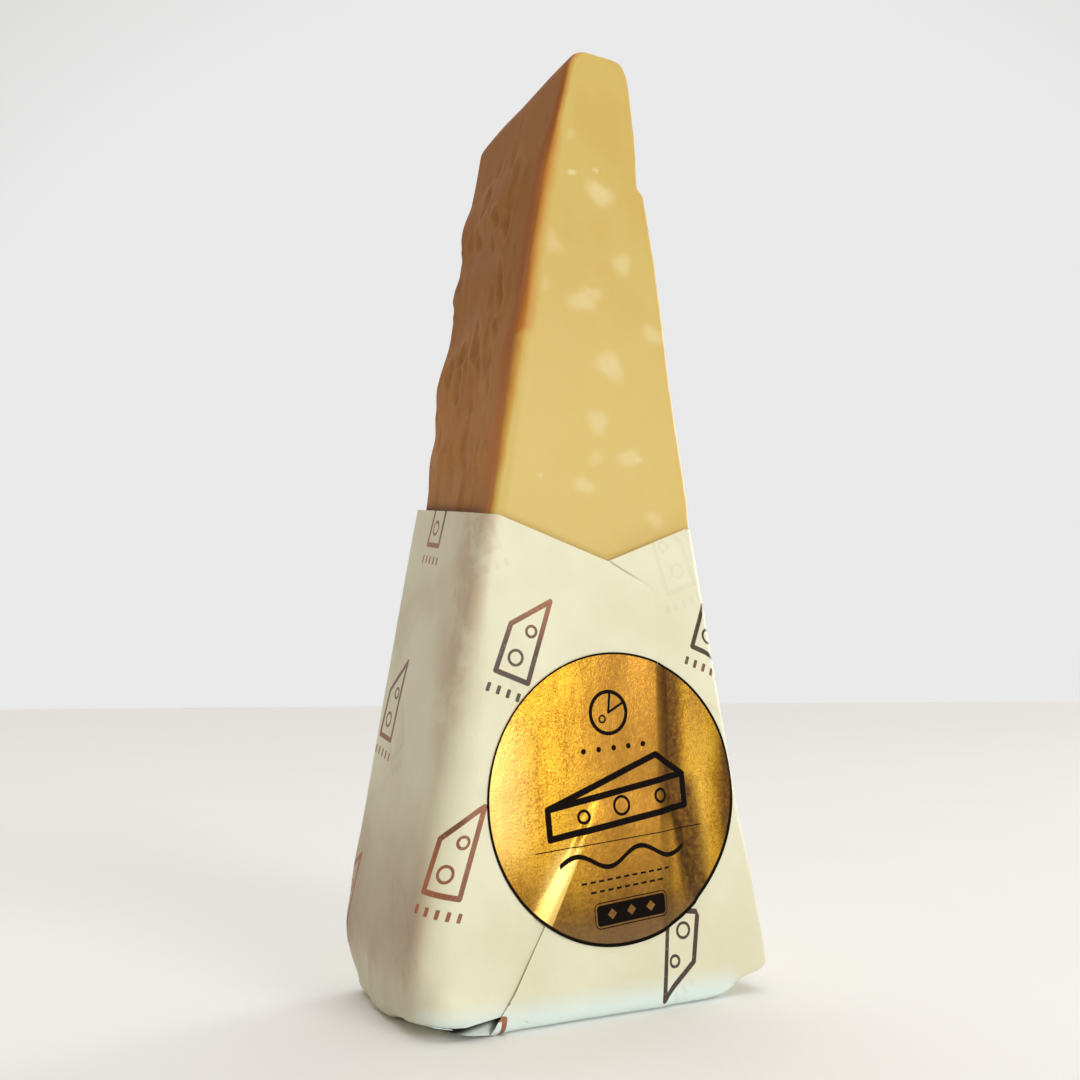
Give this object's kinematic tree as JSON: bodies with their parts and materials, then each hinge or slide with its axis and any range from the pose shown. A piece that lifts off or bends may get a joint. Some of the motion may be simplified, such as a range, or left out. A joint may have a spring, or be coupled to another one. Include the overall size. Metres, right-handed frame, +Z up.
{
  "type": "wrapped cheese wedge",
  "caption": "Tall wedge of hard aged cheese standing on its heel, its lower half wrapped in folded paper closed by a round foil seal.",
  "frame": {"origin": "middle of the base, on the surface it stands on", "axes": "+Z up from the heel to the tip; -Y out of the smooth cut face that carries the seal; +X to the right of that face"},
  "size_m": [0.0815, 0.0476, 0.2099],
  "materials": {
    "cheese": "smooth, slightly waxy cut face with pale crystals; brown, softly dented rind; yellow, grainy broken faces",
    "paper": "cream greaseproof paper, satin, folded, with a sparse two-brown print",
    "foil": "gold foil paper, finely speckled, with a dark rim and dark print"
  },
  "bodies": {
    "root": {"cheese_wedge": "cheese", "paper_wrap": "paper", "gold_label": "foil"}
  },
  "joints": []
}
